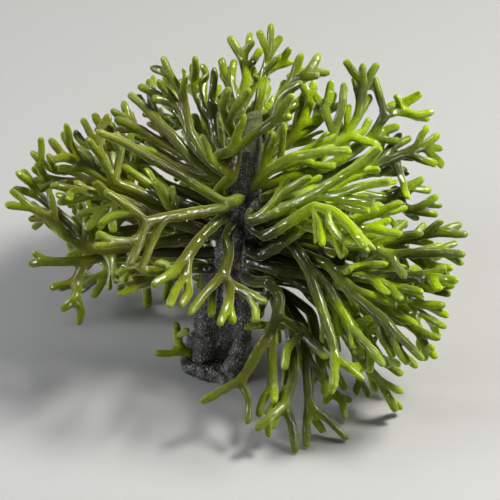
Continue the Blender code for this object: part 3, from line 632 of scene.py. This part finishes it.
def dress_frond(node):
    """The whole way from a solid frond to a rounded, fingered one."""
    piece = working_copy(node, node + "_skin")
    cut_long_spans(piece)
    grown = 0 if node in BARE_FRONDS else add_fingers(piece, node in CLEAN_FRONDS)
    push_root_in(piece)
    bpy.ops.mesh.select_all(action="SELECT")
    bpy.ops.transform.shrink_fatten(value=FATTEN)
    bpy.ops.object.mode_set(mode="OBJECT")
    store_lengths(piece, node.startswith("sprout"))
    displace(piece, wander, WANDER_BY, "RGB_TO_XYZ")
    round_off(piece, 2)
    displace(piece, swelling, SWELL_BY)
    keep_inside(piece)
    bpy.ops.object.shade_smooth()
    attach(piece, "root")
    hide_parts(node)
    return piece, grown


frond_pieces = []
finger_count = 0
for node in fronds:
    piece, grown = dress_frond(node)
    frond_pieces.append(piece)
    finger_count += grown
triangles = [sum(len(p.vertices) - 2 for p in piece.data.polygons) for piece in frond_pieces]
print(finger_count, "fingers,", sum(triangles), "triangles, at most", max(triangles), "in a frond")

# %% [markdown]
# ## The felted stipes and holdfast
#
# Below the fronds the plant is a mat of matted threads that has caught sand. It has no clean
# surface at any scale, so the solids are subdivided until a face is about a millimetre, and
# displaced by a coarse and by a fine noise. The two front stipes stand so close that their felt
# has grown together: the faces of the main stipe that look at the other one are pulled out
# towards it. The underside stays flat, because the plant rests on it.

# %% Felting the stems
LUMPS_BY = 4.0 * MM
GRIT_BY = 1.3 * MM
CUT_HEIGHT = 0.4 * MM  # all that is lower belongs to the flat cut
WEB = Vector((3.5, -1.5, 0)) * MM
WEB_HEIGHTS = (52 * MM, 104 * MM)
WEB_FACING = 0.75  # the cosine over which a face looks at the other stipe

lumps = clouds("lumps", 5 * MM, 2)
grit = clouds("grit", 1.3 * MM, 1)


def pull_web(piece):
    """Pulls the felt on one side of the main stipe out towards its neighbour."""
    bpy.ops.mesh.select_all(action="DESELECT")
    grid = bmesh.from_edit_mesh(piece.data)
    low, high = WEB_HEIGHTS
    for face in grid.faces:
        inside = low < face.calc_center_median().z < high
        face.select_set(inside and face.normal.dot(WEB.normalized()) > WEB_FACING)
    bmesh.update_edit_mesh(piece.data)
    bpy.ops.mesh.extrude_region_move(TRANSFORM_OT_translate={"value": WEB})


def flatten_cut(piece):
    """Presses the underside flat onto the floor."""
    bpy.ops.object.mode_set(mode="EDIT")
    bpy.ops.mesh.select_all(action="DESELECT")
    grid = bmesh.from_edit_mesh(piece.data)
    for corner in grid.verts:
        corner.select_set(corner.co.z < CUT_HEIGHT)
    grid.select_flush(True)
    bmesh.update_edit_mesh(piece.data)
    bpy.ops.transform.resize(value=(1, 1, 0), center_override=(0, 0, 0))
    bpy.ops.object.mode_set(mode="OBJECT")


def dress_stem(node):
    """A lumpy, gritty copy of a stipe or of the holdfast, flat where it is cut at the floor."""
    piece = working_copy(node, node + "_felt")
    cut_long_spans(piece)
    if node == "stipe_main":
        pull_web(piece)
    bpy.ops.object.mode_set(mode="OBJECT")
    round_off(piece, 2)
    displace(piece, lumps, LUMPS_BY)
    displace(piece, grit, GRIT_BY)
    flatten_cut(piece)
    bpy.ops.object.shade_smooth()
    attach(piece, "root")
    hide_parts(node)
    return piece


stem_pieces = [dress_stem(node) for node in stems]
for piece in stem_pieces:
    print(piece.name, len(piece.data.polygons), "faces")

# %% [markdown]
# ## Colours and nodes
#
# Colours are written as they look on a screen, as hex values, and turned linear for the shader.
# One small function adds a node, sets it and links it. The Mix node has several sockets of each
# name, one for every kind of value, so its colour sockets are picked by their numbers.

# %% Colour and node helpers
SHARE, FIRST, SECOND, MIXED = 0, 6, 7, 2  # sockets of a Mix node that mixes colours


def linear(code):
    """An sRGB hex colour as a linear RGBA value."""
    parts = [int(code[k : k + 2], 16) / 255 for k in (1, 3, 5)]
    return [c / 12.92 if c <= 0.04045 else ((c + 0.055) / 1.055) ** 2.4 for c in parts] + [1.0]


def add_node(tree, kind, settings=None, links=None):
    """Adds a node, sets its properties and sockets, and links other nodes' outputs to it.

    A socket goes by its name or number. A name that no socket has is a property.
    """
    node = tree.nodes.new(kind)
    for name, value in (settings or {}).items():
        if isinstance(name, int) or name in node.inputs:
            node.inputs[name].default_value = value
        else:
            setattr(node, name, value)
    for name, source in (links or {}).items():
        tree.links.new(source, node.inputs[name])
    return node


def set_stops(ramp, stops):
    """Sets the places and colours of a colour ramp."""
    while len(ramp.elements) < len(stops):
        ramp.elements.new(1.0)
    for element, (place, code) in zip(ramp.elements, stops):
        element.position = place
        element.color = linear(code)


def new_material(name):
    """An empty node material and its tree."""
    material = bpy.data.materials.new(name)
    material.use_nodes = True
    material.node_tree.nodes.clear()
    return material, material.node_tree


print("mid grey is", round(linear("#808080")[0], 3), "in linear light")

# %% [markdown]
# ## Wet codium: the age of the flesh
#
# Codium grows at its tips, which are young and thin and glow yellow-green. The branches turn olive
# towards the root, where painted shade later takes them nearly to black. So the colour starts from
# a share that is 0 at a young tip and 1 in old flesh, worked out from the way to the tip that each
# corner keeps. Blotches shift it here and there, and one clump of fronds on the right is made bright
# nearly down to its roots.

# %% The age of the flesh
BLOTCHES = 0.038 / MM  # noise waves in a millimetre, so a blotch is 26 mm across
BLOTCH_RANGE = (0.32, 0.68)  # the lowest and highest values that the noise often has
BLOTCH_SHIFT = (-1.2, 1.8)  # centimetres along the branch
# The shift makes one clump on the right brighter nearly down to its roots, as tips are.
BRIGHT_CLUMP = Vector((57, -9, 117)) * MM  # the middle of the bright clump
BRIGHT_CLUMP_REACH = (25 * MM, 45 * MM)
BRIGHT_CLUMP_SHIFT = -3.5  # centimetres
OLD = 6.0  # centimetres from a tip


def age_of_flesh(tree, place):
    """The share of age, from 0 at a young tip to 1 in old flesh."""
    to_tip = add_node(tree, "ShaderNodeAttribute", {"attribute_name": "to_tip"})
    blotch = add_node(tree, "ShaderNodeTexNoise", {"Scale": BLOTCHES, "Detail": 3}, {"Vector": place})
    shift = add_node(
        tree,
        "ShaderNodeMapRange",
        dict(zip(("From Min", "From Max", "To Min", "To Max"), BLOTCH_RANGE + BLOTCH_SHIFT)),
        {"Value": blotch.outputs["Fac"]},
    )
    blotched = add_node(
        tree,
        "ShaderNodeMath",
        {"operation": "ADD"},
        {0: to_tip.outputs["Fac"], 1: shift.outputs["Result"]},
    )
    clump = add_node(tree, "ShaderNodeVectorMath", {"operation": "DISTANCE", 1: BRIGHT_CLUMP}, {0: place})
    clump_brightening = add_node(
        tree,
        "ShaderNodeMapRange",
        {"From Min": BRIGHT_CLUMP_REACH[0], "From Max": BRIGHT_CLUMP_REACH[1], "To Min": BRIGHT_CLUMP_SHIFT, "To Max": 0.0},
        {"Value": clump.outputs["Value"]},
    )
    age = add_node(
        tree,
        "ShaderNodeMath",
        {"operation": "ADD"},
        {0: blotched.outputs["Value"], 1: clump_brightening.outputs["Result"]},
    )
    share = add_node(tree, "ShaderNodeMapRange", {"From Max": OLD}, {"Value": age.outputs["Value"]})
    return share.outputs["Result"]


# %% [markdown]
# ## Wet codium: its greens
#
# The right-hand side of this plant is brighter than the left, where the light falls on it, so there
# are two ramps of green over the age, mixed from left to right; the brighter right-hand ramp is
# painted light. The flesh near the root, and all that is deep in the bush, gets little light, and
# painted shade takes it nearly to black.

# %% The greens
LEFT_GREENS = ((0.0, "#8E9E00"), (0.22, "#7E8C00"), (0.5, "#696F02"), (1.0, "#50580E"))
# The right-hand ramp is brighter: painted light on the side where the light falls.
LIT_RIGHT_GREENS = ((0.0, "#AAC800"), (0.2, "#8AA400"), (0.45, "#545F00"), (1.0, "#393F08"))
LEFT_TO_RIGHT = (-10 * MM, 75 * MM)
# Painted shade: near the root and in the heart of the bush the green is mixed towards this.
PAINTED_SHADE_GREEN = "#2E331A"
PAINTED_SHADE_REACH = (12 * MM, 46 * MM)  # from the heart of the bush


def green_of_flesh(tree, place, age):
    """The green for an age and a place, brighter to the right with painted light."""
    left = add_node(tree, "ShaderNodeValToRGB", None, {"Fac": age})
    set_stops(left.color_ramp, LEFT_GREENS)
    right = add_node(tree, "ShaderNodeValToRGB", None, {"Fac": age})
    set_stops(right.color_ramp, LIT_RIGHT_GREENS)
    across = add_node(tree, "ShaderNodeSeparateXYZ", None, {"Vector": place})
    sunny = add_node(
        tree,
        "ShaderNodeMapRange",
        {"From Min": LEFT_TO_RIGHT[0], "From Max": LEFT_TO_RIGHT[1]},
        {"Value": across.outputs["X"]},
    )
    green = add_node(
        tree,
        "ShaderNodeMix",
        {"data_type": "RGBA"},
        {SHARE: sunny.outputs["Result"], FIRST: left.outputs["Color"], SECOND: right.outputs["Color"]},
    )
    return green.outputs[MIXED]


def shade_of_bush(tree, place, green):
    """The green darkened by painted shade towards the root and the heart of the bush."""
    from_root = add_node(tree, "ShaderNodeAttribute", {"attribute_name": "from_root"})
    # The attribute is in centimetres.
    grown = add_node(
        tree, "ShaderNodeMapRange", {"From Max": 100 * ALL_GREEN}, {"Value": from_root.outputs["Fac"]}
    )
    heart = add_node(tree, "ShaderNodeVectorMath", {"operation": "DISTANCE", 1: HEART}, {0: place})
    outer = add_node(
        tree,
        "ShaderNodeMapRange",
        {"From Min": PAINTED_SHADE_REACH[0], "From Max": PAINTED_SHADE_REACH[1]},
        {"Value": heart.outputs["Value"]},
    )
    light = add_node(
        tree,
        "ShaderNodeMath",
        {"operation": "MULTIPLY"},
        {0: grown.outputs["Result"], 1: outer.outputs["Result"]},
    )
    # Painted shade: where little light would come, the green is mixed towards near black.
    shaded = add_node(
        tree,
        "ShaderNodeMix",
        {"data_type": "RGBA", FIRST: linear(PAINTED_SHADE_GREEN)},
        {SHARE: light.outputs["Value"], SECOND: green},
    )
    return shaded.outputs[MIXED]


# %% [markdown]
# ## Wet codium: the velvet
#
# The skin of codium is a velvet of tiny club-shaped cells, the utricles, each about a third of a
# millimetre across. Here they are drawn as 0.8 mm cells, because the real ones would be lost in
# the picture. The heads of the cells are paler than the gaps between them. Colourless hairs stand
# on them, and the pale outline they give where the skin is seen edge on is a painted sheen, mixed
# into the colour by how edge-on the skin is.

# %% The velvet
CELL = 0.8 * MM
HEADS = (0.15, 0.75)  # from a cell's middle to the gap, as shares of its size
GAP_TINT = "#D0D0BA"
HAIR_SHEEN = "#CCD88C"
EDGE_ON = (0.5, 0.9)  # of Facing, which is 0 where the skin is seen head on and 1 edge on
HAIR_SHEEN_SHARE = 0.6


def velvet_colour(tree, green, cells):
    """The green with its cells, and a painted sheen of hairs where the skin is seen edge on."""
    head = add_node(
        tree, "ShaderNodeMapRange", {"From Min": HEADS[0], "From Max": HEADS[1]}, {"Value": cells}
    )
    gap = add_node(
        tree,
        "ShaderNodeMix",
        {"data_type": "RGBA", FIRST: linear("#FFFFFF"), SECOND: linear(GAP_TINT)},
        {SHARE: head.outputs["Result"]},
    )
    celled = add_node(
        tree,
        "ShaderNodeMix",
        {"data_type": "RGBA", "blend_type": "MULTIPLY", SHARE: 1.0},
        {FIRST: green, SECOND: gap.outputs[MIXED]},
    )
    # Painted sheen: the colour turns pale where the skin is seen edge on, for the hairs.
    edge = add_node(tree, "ShaderNodeLayerWeight", {"Blend": 0.5})
    edge_sheen = add_node(
        tree,
        "ShaderNodeMapRange",
        {"From Min": EDGE_ON[0], "From Max": EDGE_ON[1], "To Max": HAIR_SHEEN_SHARE},
        {"Value": edge.outputs["Facing"]},
    )
    sheened = add_node(
        tree,
        "ShaderNodeMix",
        {"data_type": "RGBA", SECOND: linear(HAIR_SHEEN)},
        {SHARE: edge_sheen.outputs["Result"], FIRST: celled.outputs[MIXED]},
    )
    return sheened.outputs[MIXED]


# %% [markdown]
# ## Wet codium: the water
#
# The plant is wet. A thin film of water lies over the velvet, rippled a little and gathered into
# drops of 1.5 mm with drier skin between, so that a highlight breaks into dots. Real drops are of
# all sizes, and these are about the smallest that still show. On the shader the water is the coat.
# The drops drive its weight, and the drops and the ripples its normal.

# %% The water
DROP = 1.5 * MM
RIPPLES = 0.85 / MM  # noise waves in a millimetre, so a ripple is 1.2 mm long
DROP_EDGE = (0.4, 0.65)  # where a drop thins out, as shares of its size
DRIEST = 0.2


def water_film(tree, place):
    """How thick the water stands, and its bumps."""
    ripple = add_node(tree, "ShaderNodeTexNoise", {"Scale": RIPPLES, "Detail": 1}, {"Vector": place})
    drops = add_node(tree, "ShaderNodeTexVoronoi", {"Scale": 1 / DROP}, {"Vector": place})
    film = add_node(
        tree,
        "ShaderNodeBump",
        {"Strength": 0.12, "Distance": 0.4 * MM},
        {"Height": ripple.outputs["Fac"]},
    )
    beads = add_node(
        tree,
        "ShaderNodeBump",
        {"Strength": 0.26, "Distance": 0.4 * MM, "invert": True},
        {"Height": drops.outputs["Distance"], "Normal": film.outputs["Normal"]},
    )
    wet = add_node(
        tree,
        "ShaderNodeMapRange",
        {"From Min": DROP_EDGE[0], "From Max": DROP_EDGE[1], "To Min": 1.0, "To Max": DRIEST},
        {"Value": drops.outputs["Distance"]},
    )
    return wet.outputs["Result"], beads.outputs["Normal"]


# %% [markdown]
# ## Wet codium: the whole skin
#
# The coat has the IOR of water. Under it the flesh itself mirrors hardly anything, because water
# and wet flesh bend light nearly alike, so the velvet looks deep and soft between sharp glints. The
# flesh lets light in, green a little further than red and blue hardly at all, which makes the thin
# tips glow. A weak pale sheen is the last of the hairs.


# %% The whole skin
def wet_codium():
    """Wet, translucent green flesh with a beaded film of water."""
    material, tree = new_material("wet codium")
    place = add_node(tree, "ShaderNodeTexCoord").outputs["Object"]
    texture = add_node(tree, "ShaderNodeTexVoronoi", {"Scale": 1 / CELL}, {"Vector": place})
    cells = texture.outputs["Distance"]
    green = green_of_flesh(tree, place, age_of_flesh(tree, place))
    green = velvet_colour(tree, shade_of_bush(tree, place, green), cells)
    velvet = add_node(
        tree,
        "ShaderNodeBump",
        {"Strength": 0.7, "Distance": 0.3 * MM, "invert": True},
        {"Height": cells},
    )
    water, water_bumps = water_film(tree, place)
    skin = add_node(
        tree,
        "ShaderNodeBsdfPrincipled",
        {
            "Roughness": 0.66,
            "IOR": 1.38,
            "Specular IOR Level": 0.05,
            "Subsurface Weight": 0.25,
            "Subsurface Radius": (0.8, 1.0, 0.1),
            "Subsurface Scale": 1.6 * MM,
            "Coat Roughness": 0.04,
            "Coat IOR": 1.33,
            "Sheen Weight": 0.08,
            "Sheen Roughness": 0.3,
            "Sheen Tint": linear("#E6EBC8"),
        },
        {
            "Base Color": green,
            "Normal": velvet.outputs["Normal"],
            "Coat Weight": water,
            "Coat Normal": water_bumps,
        },
    )
    add_node(tree, "ShaderNodeOutputMaterial", None, {"Surface": skin.outputs["BSDF"]})
    return material


green_skin = wet_codium()
for piece in frond_pieces:
    piece.data.materials.append(green_skin)
print(len(green_skin.node_tree.nodes), "nodes, on", len(frond_pieces), "fronds")

# %% [markdown]
# ## Matted felt
#
# The stipes and the holdfast are bare of green, but for the top of the tallest stipe, where the felt
# thins out. Their threads are charcoal grey and run up the stem, so their noise is stretched along
# Z. The real ones are a twentieth of a millimetre thick. Here they are drawn at three quarters of a
# millimetre, as coarse as they need to be to show. Sand and broken shell between them make pale
# specks of half a millimetre. The mat is wet too, but it drinks the water, so it only glints
# faintly.

# %% The grey felt
PATCHES = 0.11 / MM  # noise waves in a millimetre, as for the next two
THREADS = 1.3 / MM
GRAINS = 1.15 / MM
THREAD_RANGE = (0.36, 0.62)  # from the dark gap to the top of a thread
GRAIN_RANGE = (0.58, 0.68)  # only the tops of the noise are grains
ALONG_STEM = 0.3  # the threads' noise has this part of its waves along Z
PATCH_GREYS = ((0.35, "#2A2B28"), (0.52, "#4A4B45"), (0.7, "#83857C"))
THREAD_GAPS = "#4C4C46"
GRAIN_GREY = "#AEAFA5"
TOP_GREEN = "#4C5414"
TOP_HEIGHTS = (114 * MM, 132 * MM)


def felt_grey(tree, place, threads):
    """Patchy grey with dark gaps between the threads and pale grains."""
    patch = add_node(tree, "ShaderNodeTexNoise", {"Scale": PATCHES, "Detail": 3}, {"Vector": place})
    patched = add_node(tree, "ShaderNodeValToRGB", None, {"Fac": patch.outputs["Fac"]})
    set_stops(patched.color_ramp, PATCH_GREYS)
    fine = add_node(
        tree,
        "ShaderNodeMapRange",
        {"From Min": THREAD_RANGE[0], "From Max": THREAD_RANGE[1]},
        {"Value": threads},
    )
    worn = add_node(
        tree,
        "ShaderNodeMix",
        {"data_type": "RGBA", FIRST: linear(THREAD_GAPS), SECOND: linear("#FFFFFF")},
        {SHARE: fine.outputs["Result"]},
    )
    grey = add_node(
        tree,
        "ShaderNodeMix",
        {"data_type": "RGBA", "blend_type": "MULTIPLY", SHARE: 1.0},
        {FIRST: patched.outputs["Color"], SECOND: worn.outputs[MIXED]},
    )
    grains = add_node(tree, "ShaderNodeTexNoise", {"Scale": GRAINS, "Detail": 1}, {"Vector": place})
    grain = add_node(
        tree,
        "ShaderNodeMapRange",
        {"From Min": GRAIN_RANGE[0], "From Max": GRAIN_RANGE[1]},
        {"Value": grains.outputs["Fac"]},
    )
    gritty = add_node(
        tree,
        "ShaderNodeMix",
        {"data_type": "RGBA", SECOND: linear(GRAIN_GREY)},
        {SHARE: grain.outputs["Result"], FIRST: grey.outputs[MIXED]},
    )
    return gritty.outputs[MIXED]


def matted_felt():
    """Charcoal threads with pale grit, turning green at the top."""
    material, tree = new_material("matted felt")
    place = add_node(tree, "ShaderNodeTexCoord").outputs["Object"]
    along = add_node(tree, "ShaderNodeMapping", {"Scale": (1, 1, ALONG_STEM)}, {"Vector": place})
    noise = add_node(
        tree, "ShaderNodeTexNoise", {"Scale": THREADS, "Detail": 3}, {"Vector": along.outputs["Vector"]}
    )
    threads = noise.outputs["Fac"]
    height = add_node(tree, "ShaderNodeSeparateXYZ", None, {"Vector": place})
    bare = add_node(
        tree,
        "ShaderNodeMapRange",
        {"From Min": TOP_HEIGHTS[0], "From Max": TOP_HEIGHTS[1]},
        {"Value": height.outputs["Z"]},
    )
    colour = add_node(
        tree,
        "ShaderNodeMix",
        {"data_type": "RGBA", SECOND: linear(TOP_GREEN)},
        {SHARE: bare.outputs["Result"], FIRST: felt_grey(tree, place, threads)},
    )
    pile = add_node(
        tree, "ShaderNodeBump", {"Strength": 1.0, "Distance": 0.7 * MM}, {"Height": threads}
    )
    skin = add_node(
        tree,
        "ShaderNodeBsdfPrincipled",
        {"Roughness": 0.48, "IOR": 1.4, "Specular IOR Level": 0.22, "Sheen Weight": 0.15},
        {"Base Color": colour.outputs[MIXED], "Normal": pile.outputs["Normal"]},
    )
    add_node(tree, "ShaderNodeOutputMaterial", None, {"Surface": skin.outputs["BSDF"]})
    return material


grey_felt = matted_felt()
for piece in stem_pieces:
    piece.data.materials.append(grey_felt)
print(len(grey_felt.node_tree.nodes), "nodes, on", len(stem_pieces), "stems")

# %% [markdown]
# ## The floor
#
# The plant stands on a plain pale floor of matt card. It could be a curved sheet, but with the
# camera looking down a flat one fills the picture, and the soft shadow on it shows how the plant
# stands. It is only there for the picture.

# %% The floor
select_nothing()
bpy.ops.mesh.primitive_plane_add(size=6, location=(0, 0, 0))
floor = bpy.context.object
floor.name = "floor"
floor_material, floor_tree = new_material("pale studio floor")
floor_skin = add_node(
    floor_tree, "ShaderNodeBsdfPrincipled", {"Base Color": linear("#A3A3A2"), "Roughness": 0.7}
)
add_node(floor_tree, "ShaderNodeOutputMaterial", None, {"Surface": floor_skin.outputs["BSDF"]})
floor.data.materials.append(floor_material)
print("floor of", floor.dimensions.x, "m")

# %% [markdown]
# ## The light
#
# One soft lamp shines from above on the right, so that the right-hand tips glow, and a weaker one
# from the left opens the shadows. A round branch mirrors a small lamp only where it lies straight
# across the lamp's way, so a few lamps would leave most branches dull. Narrow lamps on a ring round
# the line of sight reach them all: whichever way a branch runs over the picture, one of them draws
# a thin bright line along it. They are kept out of the diffuse light, which would go flat with
# light from all round. The sky is a dim even grey that keeps the hollows dark.

# %% The lamps
SOFT_AWAY = 1.25
TUBE_AWAY = 1.1
TUBE_SIZE = (0.72, 0.035)
UPPER_RING = 68  # degrees off the line of sight
LOWER_RING = 40
SKY_STRENGTH = 0.1


def add_lamp(name, turn, spread, away, size, power, tint="#FFFFFF"):
    """A lamp that faces the bush from a place on a ring round the line of sight, lying along it.

    The turn goes from the right of the picture over its top, and the spread is the ring's angle.
    """
    turn, spread = math.radians(turn), math.radians(spread)
    outward = PICTURE_RIGHT * math.cos(turn) + PICTURE_UP * math.sin(turn)
    along = PICTURE_UP * math.cos(turn) - PICTURE_RIGHT * math.sin(turn)
    way = TOWARDS_EYE * math.cos(spread) + outward * math.sin(spread)
    data = bpy.data.lights.new(name, "AREA")
    data.shape = "RECTANGLE"
    data.size, data.size_y = size
    data.energy = power
    data.color = linear(tint)[:3]
    lamp = bpy.data.objects.new(name, data)
    bpy.context.scene.collection.objects.link(lamp)
    lamp.location = AIM + way * away
    lamp.rotation_euler = Matrix((along, way.cross(along), way)).transposed().to_euler()
    return lamp


add_lamp("key", turn=50, spread=60, away=SOFT_AWAY, size=(0.3, 0.3), power=24, tint="#FFFDF6")
add_lamp("fill", turn=160, spread=70, away=SOFT_AWAY, size=(0.5, 0.5), power=8, tint="#F4F8FF")
for turn, power in ((8, 21), (48, 21), (90, 19), (132, 19), (172, 21)):
    add_lamp("tube", turn, UPPER_RING, TUBE_AWAY, TUBE_SIZE, power).visible_diffuse = False
for turn, power in ((205, 9), (335, 9)):
    add_lamp("tube", turn, LOWER_RING, TUBE_AWAY, TUBE_SIZE, power).visible_diffuse = False

sky = bpy.data.worlds.new("studio")
sky.use_nodes = True
sky.node_tree.nodes["Background"].inputs["Color"].default_value = linear("#C8C8C6")
sky.node_tree.nodes["Background"].inputs["Strength"].default_value = SKY_STRENGTH
bpy.context.scene.world = sky
bpy.context.scene.view_settings.view_transform = "Standard"
print(len(bpy.data.lights), "lamps")

# %% [markdown]
# ## The box of the solids
#
# The box of the solids is printed, in millimetres.

# %% Finish
print("solids ", [[round(v * 1000, 1) for v in corner] for corner in solid_box])
